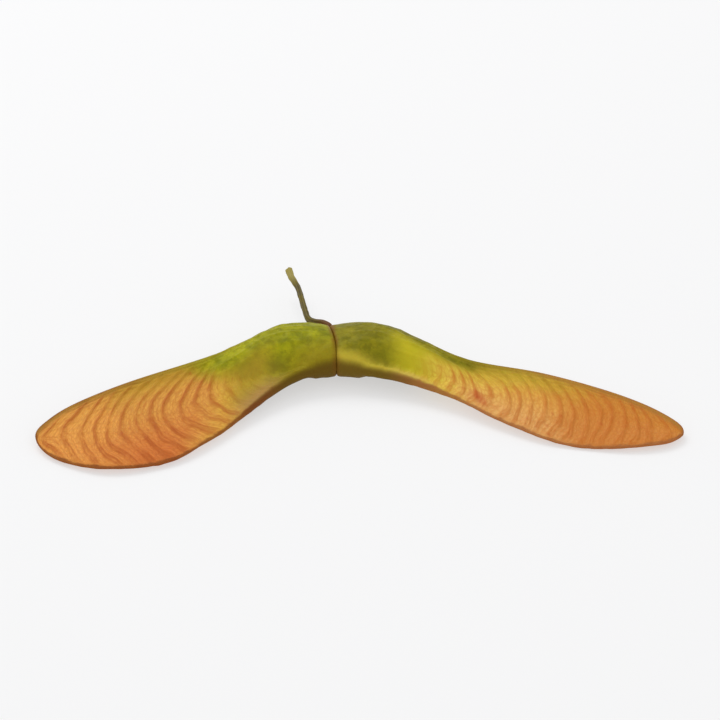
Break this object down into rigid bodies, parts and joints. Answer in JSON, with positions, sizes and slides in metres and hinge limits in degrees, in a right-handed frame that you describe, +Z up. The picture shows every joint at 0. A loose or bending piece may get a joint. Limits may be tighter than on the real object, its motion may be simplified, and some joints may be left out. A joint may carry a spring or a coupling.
{
  "type": "maple samara",
  "caption": "Pair of winged maple seeds joined at a seam on a short dry stalk, lying flat with the veined wings spread in a wide V.",
  "frame": {"origin": "centre of the underside of the bounding box, on the surface that the samara lies on", "axes": "+X along the spread wings, from the left wing to the right, +Y towards the stalk, +Z up"},
  "size_m": [0.0452, 0.0254, 0.0033],
  "materials": {
    "left_samara": "dry matte skin with raised veins, olive nutlet, orange wing",
    "right_samara": "dry matte skin with raised veins, olive nutlet, gold to orange wing",
    "stalk": "dry ridged fibre, olive brown"
  },
  "bodies": {
    "root": {"left_samara": "left_samara", "right_samara": "right_samara", "stalk": "stalk"}
  },
  "joints": []
}
